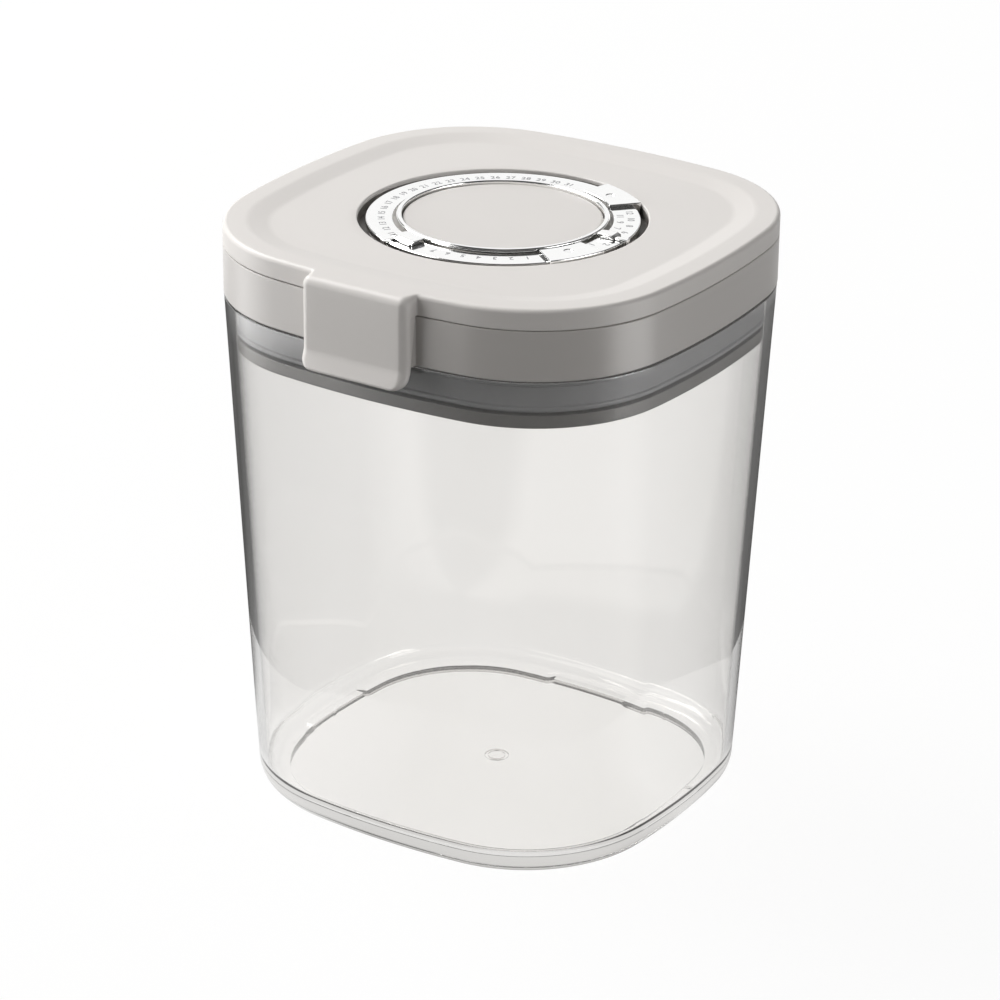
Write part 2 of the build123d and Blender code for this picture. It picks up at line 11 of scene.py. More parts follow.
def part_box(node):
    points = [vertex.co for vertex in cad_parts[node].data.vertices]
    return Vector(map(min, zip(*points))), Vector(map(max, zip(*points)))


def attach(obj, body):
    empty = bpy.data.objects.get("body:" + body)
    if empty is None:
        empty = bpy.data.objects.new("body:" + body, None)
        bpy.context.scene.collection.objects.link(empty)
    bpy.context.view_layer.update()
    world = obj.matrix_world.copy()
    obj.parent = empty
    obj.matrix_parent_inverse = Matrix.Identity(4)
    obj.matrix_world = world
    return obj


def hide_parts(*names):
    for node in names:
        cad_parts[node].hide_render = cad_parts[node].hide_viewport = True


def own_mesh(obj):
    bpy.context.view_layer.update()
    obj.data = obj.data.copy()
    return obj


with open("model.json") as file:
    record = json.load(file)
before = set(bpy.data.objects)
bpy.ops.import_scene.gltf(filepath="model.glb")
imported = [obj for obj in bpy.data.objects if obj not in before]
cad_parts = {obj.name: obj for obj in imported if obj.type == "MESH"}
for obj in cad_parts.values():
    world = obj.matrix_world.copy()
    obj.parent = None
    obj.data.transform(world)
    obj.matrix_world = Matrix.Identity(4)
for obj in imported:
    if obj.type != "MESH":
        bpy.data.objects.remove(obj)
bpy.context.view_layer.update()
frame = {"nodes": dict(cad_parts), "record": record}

# Vacuum seal canister: a clear tapered jar under a warm grey lid with a pump button and a chromed date dial.
# Sizes are millimetres until a mesh is made; angles are degrees from +X, anticlockwise from above.
mm = 0.001


def boxMm(node):
    low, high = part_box(node)
    return np.array(low) / mm, np.array(high) / mm


# Plan of the canister: rounded squares with slightly bowed sides, as wide and deep as the frame says
ringLow, ringHigh = boxMm("lid_ring")
coverLow, coverHigh = boxMm("top_cover")
jarHigh = boxMm("jar")[1]
gasketLow, gasketHigh = boxMm("lid_gasket")
buttonLow, buttonHigh = boxMm("pump_button")
plan = {
    "halfWidth": ringHigh[0], "halfDepth": ringHigh[1], "corner": 38.3, "rimStep": 0.1, "baseHalfWidth": 57.15,
    "baseHalfDepth": 54.5, "baseCorner": 38.8, "sideTurn": 6.5, "jarHeight": jarHigh[2],
}
slots = {entry["node"]: entry["material_slot"] for entry in frame["record"]["subparts"]}
# How meshes are closed: doubles and slivers in metres, and the angle past which an edge stays sharp
welds = {"double": 2e-7, "sliver": 1e-7, "sharpAngle": 32}
lidPlan = plan["halfWidth"], plan["halfDepth"], plan["corner"]
basePlan = plan["baseHalfWidth"], plan["baseHalfDepth"], plan["baseCorner"]
sideTurn = math.radians(plan["sideTurn"])


def jarPlan(level):
    # the jar's outside widens evenly from its foot to its rim
    share = np.asarray(level) / plan["jarHeight"]
    return tuple(low + (high - plan["rimStep"] - low) * share for low, high in zip(basePlan, lidPlan))


def sideArcs(sizes):
    # centres and radii of the eight tangent arcs, worked out for one quarter of the rounded square
    halfWidth, halfDepth, corner = sizes
    bow = math.tan(sideTurn / 2)
    roomX, roomY = halfWidth - corner, halfDepth - corner
    centreX = (roomX - bow * roomY) / (1 - bow**2)
    centreY = (roomY - bow * roomX) / (1 - bow**2)
    return centreX, centreY, centreY / math.sin(sideTurn) + corner, centreX / math.sin(sideTurn) + corner


def planPoints(sizes, turn, inset=0.0):
    # point of the rounded square that faces the angle turn: arc centre plus (radius - inset) times the facing
    halfWidth, halfDepth, corner = sizes
    centreX, centreY, radiusX, radiusY = sideArcs(sizes)
    across, along = np.cos(turn), np.sin(turn)
    folded = np.arctan2(abs(along), abs(across))
    onX, onY = folded < sideTurn, folded > math.pi / 2 - sideTurn
    radius = np.where(onX, radiusX, np.where(onY, radiusY, corner)) - inset
    baseX = np.where(onX, halfWidth - radiusX, np.where(onY, 0, centreX))
    baseY = np.where(onX, 0, np.where(onY, halfDepth - radiusY, centreY))
    x = np.sign(across) * (baseX + radius * abs(across))
    y = np.sign(along) * (baseY + radius * abs(along))
    return x, y


def turnsRound(piece, first=-plan["sideTurn"], last=360 - plan["sideTurn"]):
    # facings from first to last in degrees, evenly spaced within each side and each corner
    edges = [90 * k + s * plan["sideTurn"] for k in range(-5, 6) for s in (-1, 1)]
    stops = [first] + [e for e in edges if first < e < last] + [last]
    turns = []
    for low, high in zip(stops[:-1], stops[1:]):
        middle = (low + high) / 180
        onSide = abs(middle - round(middle)) * 90 < plan["sideTurn"]
        full = 2 * plan["sideTurn"] if onSide else 90 - 2 * plan["sideTurn"]
        steps = max(2, round(piece["perSide" if onSide else "perCorner"] * (high - low) / full))
        turns.append(np.linspace(low, high, steps + 1)[:-1])
    return np.radians(np.concatenate(turns))


def arcPoints(corner, before, after, radius, steps):
    # a profile's corner rounded to a radius: points on the tangent circle between its two sides
    corner, before, after = (np.array(p, float) for p in (corner, before, after))
    inward = (before - corner) / np.linalg.norm(before - corner)
    outward = (after - corner) / np.linalg.norm(after - corner)
    half = math.acos(np.clip(inward @ outward, -1, 1)) / 2
    reach = radius / math.tan(half)
    middle = corner + (inward + outward) / np.linalg.norm(inward + outward) * radius / math.sin(half)
    start, end = corner + inward * reach - middle, corner + outward * reach - middle
    share = np.linspace(0, 1, steps + 1)[:, None]
    sweep = math.pi - 2 * half
    return middle + (start * np.sin((1 - share) * sweep) + end * np.sin(share * sweep)) / math.sin(sweep)


def roundedProfile(corners, steps=5, closed=False):
    # corners are (first, second, radius); the result is one array of (first, second)
    points = []
    count = len(corners)
    for k, (a, b, radius) in enumerate(corners):
        if radius and (closed or 0 < k < count - 1):
            before, after = corners[k - 1][:2], corners[(k + 1) % count][:2]
            points.append(arcPoints((a, b), before, after, radius, steps))
        else:
            points.append(np.array([[a, b]], float))
    return np.concatenate(points)


def quarter(steps):
    return np.linspace(0, math.pi / 2, steps + 1)


def stacked(*parts):
    return np.stack(np.broadcast_arrays(*parts), axis=-1)


def turned(profile, angles, centre=(0, 0)):
    # a profile of (radius, level) turned about an upright axis
    radius, level = np.array(profile, float).T[..., None]
    return stacked(centre[0] + radius * np.cos(angles), centre[1] + radius * np.sin(angles), level)


def facings(row):
    # directions in which the columns of a row face, for a round row beside it
    return np.arctan2(row[:, 1], row[:, 0])


def evenly(columns):
    return np.linspace(0, 2 * math.pi, columns, endpoint=False)


def carried(profile, turns, sizes=lidPlan):
    # a profile of (inset, level) carried round a rounded square, the lid's unless others are given
    inset, level = np.array(profile, float).T[..., None]
    return stacked(*planPoints(sizes, turns, inset), level)


def drawnIn(size, distance):
    # how far a quarter circle of this size stands back, at a distance from its end
    return size - np.sqrt(size**2 - np.clip(size - distance, 0, None) ** 2)


def gridFaces(rows, columns, closeRows):
    # quads between neighbouring rows; columns always close on themselves
    r = np.arange(rows if closeRows else rows - 1)[:, None]
    c = np.arange(columns)[None, :]
    nextRow, nextColumn = (r + 1) % rows, (c + 1) % columns
    quads = r * columns + c, r * columns + nextColumn, nextRow * columns + nextColumn, nextRow * columns + c
    return stacked(*quads).reshape(-1, 4)


def surfaceMesh(points, closeRows=False, poles=()):
    # points: rows x columns x 3 in mm. poles: the points that close the first row and the last
    rows, columns = points.shape[:2]
    vertices = points.reshape(-1, 3)
    faces = gridFaces(rows, columns, closeRows).tolist()
    for start, pole in zip((0, (rows - 1) * columns), poles):
        edge = np.arange(columns) + start
        faces += stacked(edge, np.roll(edge, -1), len(vertices)).tolist()
        vertices = np.vstack([vertices, pole])
    mesh = bpy.data.meshes.new("surface")
    mesh.from_pydata((vertices * mm).tolist(), [], faces)
    return mesh


def blockMesh(sections):
    # sections from end to end, with a pole in the middle of each end
    points = np.stack(sections)[:, :, 0]
    return surfaceMesh(points, poles=(points[0].mean(axis=0), points[-1].mean(axis=0)))


def joinMeshes(name, meshes, merged=True):
    # several closed shells in one mesh; merged ones lose their doubles and all face outwards
    work = bmesh.new()
    for mesh in meshes:
        work.from_mesh(mesh)
    if merged:
        bmesh.ops.remove_doubles(work, verts=work.verts, dist=welds["double"])
        bmesh.ops.dissolve_degenerate(work, edges=work.edges, dist=welds["sliver"])
        bmesh.ops.recalc_face_normals(work, faces=work.faces)
    joined = bpy.data.meshes.new(name)
    work.to_mesh(joined)
    work.free()
    return joined


def placed(name, data):
    thing = bpy.data.objects.new(name, data)
    bpy.context.scene.collection.objects.link(thing)
    return thing


def finishPiece(name, meshes, material, body, node, replaced=True, weighted=True, merged=True):
    # one object per piece at the origin, smooth but for edges sharper than the angle, riding on its body
    mesh = joinMeshes(name, meshes, merged)
    mesh.shade_smooth()
    mesh.set_sharp_from_angle(angle=math.radians(welds["sharpAngle"]))
    mesh.materials.append(material)
    piece = placed(name, mesh)
    if weighted:
        piece.modifiers.new("flatFaces", "WEIGHTED_NORMAL").keep_sharp = True
    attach(piece, body)
    if replaced:
        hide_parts(node)
    return piece


# Materials: colours are sRGB hex, turned to linear by one function
def linear(text):
    values = [int(text[i:i + 2], 16) / 255 for i in (1, 3, 5)]
    return tuple(v / 12.92 if v <= 0.04045 else ((v + 0.055) / 1.055) ** 2.4 for v in values) + (1.0,)


def addNode(tree, kind, settings=None, links=None):
    # one node with its settings (attributes or input values) and links {input: a node or one of its outputs}
    node = tree.nodes.new("ShaderNode" + kind)
    for key, value in (settings or {}).items():
        if isinstance(key, str) and hasattr(node, key) and key not in node.inputs:
            setattr(node, key, value)
        else:
            node.inputs[key].default_value = value
    for key, source in (links or {}).items():
        socket = source if isinstance(source, bpy.types.NodeSocket) else source.outputs[0]
        tree.links.new(socket, node.inputs[key])
    return node


def newMaterial(name):
    # an empty material, the function that adds its nodes, and its Object coordinates
    material = bpy.data.materials.new(name)
    material.use_nodes = True
    material.node_tree.nodes.clear()
    add = partial(addNode, material.node_tree)
    return material, add, add("TexCoord").outputs["Object"]


def cloudedShader(add, place, values):
    # two tones over a noise of a size in mm, which may spread the roughness; it or a finer grain makes the bump
    cloud, *finer = (add("TexNoise", {"Scale": 1 / (size * mm), "Detail": detail,
                                      "Distortion": values.get("distortion", 0)}, {"Vector": place})
                     for size, detail in values["noises"])
    tone = add("Mix", {"data_type": "RGBA", 6: linear(values["tones"][0]), 7: linear(values["tones"][1])},
               {0: cloud})
    # painted shade: inside the zone the tone gives way to the zone's darker colour
    if "zone" in values:
        tone = add("Mix", {"data_type": "RGBA", 7: linear(values["zone"]["colour"])},
                   {0: inZone(add, place, values["zone"]), 6: tone.outputs[2]})
    links = {"Base Color": tone.outputs[2]}
    if "bump" in values:
        links["Normal"] = add("Bump", {"Strength": values["bump"], "Distance": values["bumpMm"] * mm},
                              {"Height": (finer or [cloud])[0]})
    if "rough" in values:
        (low, high), (least, most) = values.get("spread", (0, 1)), values["rough"]
        links["Roughness"] = add("MapRange", {"From Min": low, "From Max": high, "To Min": least, "To Max": most},
                                 {"Value": cloud})
    return add("BsdfPrincipled", values["shader"], links)


def clouded(name, **values):
    material, add, place = newMaterial(name)
    add("OutputMaterial", links={"Surface": cloudedShader(add, place, values)})
    return material


def inZone(add, place, zone):
    # 1 between two levels and two radii about the upright axis, in mm, and 0 elsewhere
    parts = add("SeparateXYZ", links={0: place}).outputs
    flat = add("CombineXYZ", links={"X": parts["X"], "Y": parts["Y"]})
    radius = add("VectorMath", {"operation": "LENGTH"}, {0: flat}).outputs["Value"]
    inLevels, inRadii = (add("Math", {"operation": "COMPARE", 1: (low + high) / 2 * mm, 2: (high - low) / 2 * mm},
                             {0: measure})
                         for measure, (low, high) in ((parts["Z"], zone["levels"]), (radius, zone["radii"])))
    return add("Math", {"operation": "MULTIPLY"}, {0: inLevels, 1: inRadii})


# Injection-moulded ABS and PP: even colour with a faint cloud, fine spark-eroded grain, satin gloss
moulded = {"spread": (0.3, 0.7), "shader": {"IOR": 1.5}}
coverFinish = {**moulded, "noises": ((45.0, 2.0), (0.35, 3.0)), "rough": (0.41, 0.43), "bump": 0.25, "bumpMm": 0.02}
ringFinish = {**moulded, "noises": ((40.0, 2.0), (0.3, 3.0)), "rough": (0.29, 0.31), "bump": 0.15, "bumpMm": 0.015}
# painted shade: the moat round the dial is painted darker where shade falls in it, and the skirt's lowest flange,
# seen through the jar under the gasket, is painted a darker grey for its shade
moatPaintedShade = {"levels": (coverLow[2], coverHigh[2] - 2.0), "radii": (33.2, 36.6), "colour": "#77736f"}
flangePaintedShade = {"levels": (ringLow[2] + 0.2, ringLow[2] + 3.6), "radii": (20.0, 100.0), "colour": "#7d7c7b"}
coverPlastic = clouded("coverAbsMatt", tones=("#dfdbd7", "#dbd7d3"), zone=moatPaintedShade, **coverFinish)
ringPlastic = clouded("ringAbsSatin", tones=("#cbc7c3", "#c6c2be"), zone=flangePaintedShade, **ringFinish)
buttonPlastic = clouded("buttonAbsMatt", tones=("#dcd8d4", "#d8d4d0"), **coverFinish)
pumpPlastic = clouded("pumpPolypropylene", tones=("#e4e3df", "#deddd8"), **ringFinish)
print("materials: moulded plastics")

# moulded silicone: cool mid grey, a soft sheen with a faint dusty variation
gasketRubber = clouded("gasketSilicone", tones=("#9b9c9f", "#929396"), noises=[(9, 4.0)], bump=0.2,
                       bumpMm=0.02, shader={"IOR": 1.43, "Roughness": 0.38, "Sheen Weight": 0.1})
# bright nickel-chrome plating on ABS: neutral mirror with a trace of orange peel from the moulding
chrome = clouded("dialChromePlate", tones=("#fbfbfa", "#f7f7f6"), noises=[(2.2, 1.0)], bump=0.12,
                 bumpMm=0.01, shader={"Metallic": 1.0, "Roughness": 0.08})
# polished stainless wire: faint drawing lines that spread its gloss
steel = clouded("brightSteelWire", tones=("#c9c8c5", "#b9b8b5"), noises=[(0.4, 3.0)], rough=(0.18, 0.32),
                shader={"Metallic": 1.0})
# dark moulded rubber with a fine dusty grain
sealRubber = clouded("sealRubber", tones=("#3a3a3c", "#2e2e30"), noises=[(0.6, 4.0)], bump=0.3, bumpMm=0.02,
                     shader={"Roughness": 0.5})
# needled polyester filter felt: white fibres over a coarse cloud
felt = clouded("filterFelt", tones=("#e9e7e1", "#c9c6bd"), noises=[(0.25, 6.0)], distortion=2.0, bump=0.8,
               bumpMm=0.15, shader={"Roughness": 0.9, "Sheen Weight": 0.3})
# pad-printed grey ink on the plating: thin, matt and slightly uneven
ink = clouded("printedGreyInk", tones=("#77777a", "#8d8d90"), noises=[(0.5, 2.0)], shader={"Roughness": 0.55})

# Clear plastic: how many turns a ray may make inside it, and the painted light and shade it then shows by share of
# the painted glow's height
clearValues = {
    "tones": ("#fbfaf9", "#f8f7f5"), "noises": [(38, 1.0)], "bump": 0.05, "bumpMm": 0.05,
    "shader": {"IOR": 1.57, "Roughness": 0.0, "Transmission Weight": 1.0}, "shadowTint": "#f4f3f1",
    "turns": 1.5, "paintedGlowHeight": 10,
    # painted light and shade by share of the height: dark at the lowest edge, pale in the foot, dark in the walls
    # above
    "paintedGlow": {0: "#424140", 0.13: "#424140", 0.18: "#dcdbd9", 0.62: "#dcdbd9", 1: "#4c4b4a"},
}


def colourRamp(add, share, stops):
    # a colour ramp over a share from 0 to 1, with straight lines between its stops
    ramp = add("ValToRGB", links={0: share})
    elements = ramp.color_ramp.elements
    while len(elements) < len(stops):
        elements.new(0.5)
    for element, (position, colour) in zip(elements, sorted(stops.items())):
        element.position, element.color = position, colour
    return ramp


def clearPlastic():
    # polished clear SAN: a faint warm grey tint, sharp reflections, and lamps pass through it
    material, add, place = newMaterial("jarClearSan")
    path = add("LightPath").outputs
    through = add("BsdfTransparent", {"Color": linear(clearValues["shadowTint"])})
    polished = cloudedShader(add, place, clearValues)
    body = add("MixShader", {}, {0: path["Is Shadow Ray"], 1: polished, 2: through})
    # a ray that has turned inside the thick plastic a few times ends on painted light by level, standing in for the
    # light it would catch there: a pale painted glow in the foot from the table, painted shade at its lowest edge
    # and in the walls above it
    level = add("SeparateXYZ", links={0: place}).outputs["Z"]
    share = add("Math", {"operation": "DIVIDE", 1: clearValues["paintedGlowHeight"] * mm}, {0: level})
    paintedGlow = {position: linear(tint) for position, tint in clearValues["paintedGlow"].items()}
    paintedLight = add("Emission", {}, {"Color": colourRamp(add, share, paintedGlow)})
    trapped = add("Math", {"operation": "GREATER_THAN", 1: clearValues["turns"]}, {0: path["Glossy Depth"]})
    add("OutputMaterial", links={"Surface": add("MixShader", {}, {0: trapped, 1: body, 2: paintedLight})})
    return material


clear = clearPlastic()
print("materials: rubbers, metals, felt, ink and clear plastic")

# Jar: clear cup whose profile runs from the middle of its underside, over the rim, to the middle of its floor
jar = {
    "wall": 2.0, "floor": 4.6, "footRound": 6.0, "insideRound": 4.0, "rimRound": 0.5, "footWidth": 1.6,
    "footDepth": 1.8, "footBreak": 12.0, "breakDepth": 0.5, "breakEdge": 0.12, "gateRadius": 3.2, "gateRing": 1.0,
    "gateDepth": 0.5, "middleRadius": 9.6, "wallRows": 10, "footRows": 12, "rimRows": 4, "coveRows": 8,
    "perSide": 26, "perCorner": 44, "closest": 0.001,
}


def jarTurns():
    # even facings, with close pairs where the foot rim steps at mid-side
    turns = turnsRound(jar)
    radiusX, radiusY = sideArcs(basePlan)[2:]
    ends = np.array([-1, 1])
    steps = ends[:, None] * (jar["footBreak"] + ends * jar["breakEdge"])
    extra = np.concatenate([np.arcsin(steps / radius).ravel() + side * math.pi / 2
                            for side, radius in enumerate((radiusX, radiusY, radiusX, radiusY))])
    near = np.abs(turns[:, None] - extra).min(axis=1) < jar["closest"]
    return np.sort(np.r_[turns[~near], extra])


def makeJar():
    inner, foot, small, turn = jar["wall"], jar["footRound"], jar["rimRound"], jar["insideRound"]
    top, low = plan["jarHeight"], jar["floor"] + jar["insideRound"]
    recess, under, count = foot + jar["footWidth"], jar["footDepth"], jar["wallRows"]
    fillet, bend, floorBend = quarter(jar["footRows"]), quarter(jar["rimRows"])[1:], quarter(jar["coveRows"])[1:]
    underside = [(recess, under), (recess, 0), ((recess + foot) / 2, 0)]
    outside = stacked(foot - foot * np.sin(fillet), foot - foot * np.cos(fillet))
    wall = stacked(0, np.linspace(foot, top - small, count + 1)[1:])
    rimOut = stacked(small - small * np.cos(bend), top - small + small * np.sin(bend))
    rimIn = stacked(inner - small + small * np.sin(bend), top - small + small * np.cos(bend))
    inside = stacked(inner, np.linspace(top - small, low, count + 1)[1:])
    cove = stacked(inner + turn - turn * np.cos(floorBend), low - turn * np.sin(floorBend))
    profile = np.r_[underside, outside, wall, rimOut, rimIn, inside, cove]
    rows = carried(profile, jarTurns(), jarPlan(profile[:, 1:2]))
    # the foot rim stands a little higher over the middle of each side
    across = np.minimum(abs(rows[..., 0]), abs(rows[..., 1]))
    lifted = np.clip((jar["footBreak"] - across[0]) / jar["breakEdge"], -1, 1) / 2 + 0.5
    rows[..., 2] = np.maximum(rows[..., 2], lifted * jar["breakDepth"])
    gate, groove, wide = jar["gateRadius"], under + jar["gateDepth"], jar["middleRadius"]
    mark = gate - jar["gateRing"]
    middle = [(mark, under), (mark, groove), (gate, groove), (gate, under), (wide, under)]
    angles = facings(rows[0])
    points = np.r_[turned(middle, angles), rows, turned([(wide, jar["floor"])], angles)]
    return surfaceMesh(points, poles=((0, 0, under), (0, 0, jar["floor"])))


finishPiece("jarBody", [makeJar()], clear, "jar", "jar")
print("jar: clear cup with stepped foot rim and gate mark")

# Tab: a bump in the plan of the cover, with small fillets beside it, whose front runs down as the flap
tab = {
    "halfWidth": 15.0, "face": 65.4, "edge": 2.2, "fillet": 0.4, "wall": 2.3, "bottom": coverLow[2], "flare": 1.9,
    "flareHeight": 4.3, "flareSoft": 0.9, "cornerRound": 3.0, "lipRound": 0.95, "topRound": 2.15, "bossInset": 0.4,
    "arcSteps": 4, "flatSteps": 14, "cornerRows": 10, "flareRows": 9, "plainRows": 3,
}


def bumpPath(halfWidth, face, edge, fillet, wall=0.0):
    # columns from -X to +X: arc centre, signed radius, facing, and whether the flap hangs from the column
    middle = 1.5 * math.pi
    facing = middle - math.asin((halfWidth + fillet) / sideArcs(lidPlan)[3])
    x, y = planPoints(lidPlan, facing)
    centre = float(x) + fillet * math.cos(facing), float(y) + fillet * math.sin(facing)
    left = [(*centre, -fillet, turn, 0) for turn in np.linspace(facing, math.pi, tab["arcSteps"] + 1)]
    if wall:
        left.append((-halfWidth, wall - face, 0.0, math.pi, 1))
    hinge = (edge - halfWidth, edge - face)
    left += [(*hinge, edge, turn, 1) for turn in np.linspace(math.pi, middle, 2 * tab["arcSteps"] + 1)]
    flat = [(x, -face, 0.0, middle, 1) for x in np.linspace(hinge[0], -hinge[0], tab["flatSteps"] + 1)[1:-1]]
    right = [(-x, y, radius, 3 * math.pi - turn, hangs) for x, y, radius, turn, hangs in left[::-1]]
    return np.array(left + flat + right)


def alongBump(path, inset=0):
    # point of each column: arc centre plus (radius - inset) times the facing
    reach = path[:, 2] - inset
    return path[:, 0] + reach * np.cos(path[:, 3]), path[:, 1] + reach * np.sin(path[:, 3])


def bumpColumns(path, piece):
    # the plain plan's facings: the bump's columns, spread by their distance along it, and then the rest
    steps = np.hypot(*np.diff(alongBump(path)))
    along = np.r_[0, np.cumsum(steps)]
    lean = abs(path[0, 3] - 1.5 * math.pi)
    plainTurns = 1.5 * math.pi + lean * (2 * along / along[-1] - 1)
    rest = turnsRound(piece, 270 + math.degrees(lean), 630 - math.degrees(lean))[1:]
    return np.r_[plainTurns, rest], rest


def bumped(profile, path, rest):
    # a profile of (inset, level) carried along the bump and then round the rest of the plan
    inset, level = np.array(profile, float).T[..., None]
    flat = np.concatenate([alongBump(path, inset), planPoints(lidPlan, rest, inset)], axis=-1)
    return stacked(*flat, level)


def flapRows(path, joint):
    # front of the flap from its foot up to the joint with the cover, as columns of the bump, and its back
    bottom, half, wall = tab["bottom"], tab["halfWidth"], tab["wall"]
    tail = bottom + tab["cornerRound"] * (1 - np.sin(quarter(tab["cornerRows"])))
    bend = np.linspace(bottom + tab["flareHeight"] + tab["flareSoft"], bottom + tab["cornerRound"],
                       tab["flareRows"] + 1)[:-1]
    plain = np.linspace(joint, bend[0], tab["plainRows"] + 1)[:-1]
    levels = np.r_[plain, bend, tail][::-1, None]
    rise = levels - bottom
    # the flare is an even slope that starts on a parabola, and the foot's section closes on a quarter circle
    below, soft = tab["flareHeight"] - rise, tab["flareSoft"]
    run = np.where(below > soft, below, np.clip(below + soft, 0, None) ** 2 / (4 * soft))
    step = tab["flare"] * run / tab["flareHeight"]
    narrow, thick = drawnIn(tab["cornerRound"], rise), wall / 2 - drawnIn(tab["lipRound"], rise)
    acrossTab, alongTab = alongBump(path)
    middle = wall / 2 - tab["face"]
    x = acrossTab * (half - narrow) / half
    place = np.clip((alongTab - middle) / (wall / 2), -1, 1)
    return stacked(x, middle - step + place * thick, levels), stacked(x, middle - step + thick, levels)[::-1]


# Cover: raised rim, soft slope, flat pan, dial well and collar, in one closed skin
cover = {
    "bottom": ringHigh[2] + 0.2, "top": coverHigh[2], "panDrop": 1.0, "edgeRound": 1.2, "rimWidth": 6.0,
    "slopeWidth": 5.5, "slopeRound": 9.0, "run": 2.0, "plate": 2.0, "panFrom": 39.0, "wellRadius": 36.0,
    "wellWall": 1.8, "wellDepth": 3.3, "wellRound": 0.4, "underRound": 0.3, "smallRound": 0.2, "plateTo": 42.0,
    "landRadius": 33.0, "landDepth": 1.7, "collarRadius": 25.15, "collarWall": 1.6,
    "collarBottom": buttonLow[2] + 1.9, "lipOut": 2.3, "lipIn": 3.9, "lipDepth": 3.0, "bottomRound": 0.25,
    "perSide": 26, "perCorner": 48,
}


def makeCover():
    path = bumpPath(tab["halfWidth"], tab["face"], tab["edge"], tab["fillet"], tab["wall"])
    allTurns, rest = bumpColumns(path, cover)
    top, bottom, small = cover["top"], cover["bottom"], cover["smallRound"]
    pan, rim, run = top - cover["panDrop"], cover["rimWidth"], cover["run"]
    slope = rim + cover["slopeWidth"]
    hangs = np.r_[path[:, 4], np.zeros(len(rest))] > 0
    # where the flap hangs, rows run down its back and up its front; elsewhere they stay at the cover's foot
    front, back = flapRows(path, bottom)
    flap = np.r_[back, front]
    strips = np.repeat(bumped([(cover["bottomRound"], bottom)], path, rest), len(flap), axis=0)
    strips[:, hangs] = flap[:, hangs[:len(path)]]
    # the tab's front rolls over into the top more softly than the wall beside it
    wall, roll = (roundedProfile([(cover["lipOut"], bottom, 0), (0, bottom, cover["bottomRound"]),
                                  (0, top, radius), (rim - run, top, 0)], steps=7)[1:-1]
                  for radius in (cover["edgeRound"], tab["topRound"]))
    roll[wall[:, 1] < bottom + 1.01 * cover["bottomRound"], 0] = 0
    sides = np.where(hangs[:, None], bumped(roll, path, rest), bumped(wall, path, rest))
    band = roundedProfile([(rim - run, top, 0), (rim, top, cover["slopeRound"]), (slope, pan, cover["slopeRound"]),
                           (slope + run, pan, 0)], steps=8)[1:]
    rim = carried(band, allTurns)
    wellFloor, land = pan - cover["wellDepth"], pan - cover["landDepth"]
    well, landOut, collar = cover["wellRadius"], cover["landRadius"], cover["collarRadius"]
    under, plateUnder = wellFloor - cover["wellWall"], pan - cover["plate"]
    wellOut, collarOut = well + cover["wellWall"], collar + cover["collarWall"]
    inner = roundedProfile([(cover["panFrom"], pan, 0), (well, pan, cover["wellRound"]), (well, wellFloor, small),
                            (landOut, wellFloor, small), (landOut, land, small), (collar, land, small),
                            (collar, cover["collarBottom"], small), (collarOut, cover["collarBottom"], small),
                            (collarOut, under, cover["wellRound"]), (wellOut, under, cover["underRound"]),
                            (wellOut, plateUnder, cover["underRound"]), (cover["plateTo"], plateUnder, 0)],
                           steps=4)
    lipBottom = bottom - cover["lipDepth"]
    lip = [(cover["lipIn"], plateUnder), (cover["lipIn"], lipBottom), (cover["lipOut"], lipBottom),
           (cover["lipOut"], bottom)]
    rows = strips, sides, rim, turned(inner, facings(rim[-1])), carried(lip, allTurns)
    return surfaceMesh(np.concatenate(rows), closeRows=True)


finishPiece("coverShell", [makeCover()], coverPlastic, "lid", "top_cover")
print("cover: rim, slope, pan, well, collar and tab")

# Ring: band flush with the jar, a boss behind the tab, the skirt in the jar and the closed floor with its port
ring = {
    "bottom": plan["jarHeight"] + 0.3, "top": ringHigh[2], "edge": 0.35, "wall": 2.2, "flange": 2.0,
    "skirtInset": 5.0, "skirtWall": 2.0, "skirtBottom": ringLow[2], "floor": 2.0, "chamfer": 1.0,
    "skirtFlange": 3.4, "flangeFrom": 3.0, "flangeTo": 2.0, "flangeRound": 0.5, "flangeTopRound": 0.2,
    "clearance": 0.35, "port": 9.2, "recess": 12.2, "recessDepth": 1.0, "bossFace": 63.1, "bossEdge": 0.5,
    "bossFillet": 0.3, "perSide": 26, "perCorner": 48,
}


def makeRing():
    half = tab["halfWidth"] - tab["bossInset"]
    path = bumpPath(half, ring["bossFace"], ring["bossEdge"], ring["bossFillet"])
    allTurns, rest = bumpColumns(path, ring)
    low, top, bottom, wall = ring["skirtBottom"], ring["top"], ring["bottom"], ring["wall"]
    outer = roundedProfile([(ring["skirtInset"], bottom, 0), (0, bottom, ring["edge"]), (0, top, ring["edge"]),
                            (wall, top, 0)], steps=5)[1:-1]
    skirt, flange = ring["skirtInset"] + ring["skirtWall"], bottom + ring["flange"]
    floorTop, flangeTop, chamfer = low + ring["floor"], low + ring["skirtFlange"], ring["chamfer"]
    inside = carried([(wall, top), (wall, flange), (skirt, flange), (skirt, floorTop + chamfer),
                      (skirt + chamfer, floorTop)], allTurns)
    port, recess, deep = ring["port"], ring["recess"], low + ring["recessDepth"]
    hole = turned([(port, floorTop), (port, deep), (recess, deep), (recess, low)], facings(inside[-1]))
    gap = jar["wall"] + ring["clearance"]
    lower = roundedProfile([(gap + ring["flangeFrom"], low, 0), (gap, low, ring["flangeRound"]),
                            (gap, flangeTop, ring["flangeTopRound"]), (gap + ring["flangeTo"], flangeTop, 0)],
                           steps=5)
    outside = [(ring["skirtInset"], flangeTop), (ring["skirtInset"], bottom)]
    rows = (bumped(outer, path, rest), inside, hole, carried(lower, allTurns, jarPlan(low)),
            carried(outside, allTurns))
    return surfaceMesh(np.concatenate(rows), closeRows=True)


finishPiece("ringShell", [makeRing()], ringPlastic, "lid", "lid_ring")
print("ring: band, boss, skirt and floor")

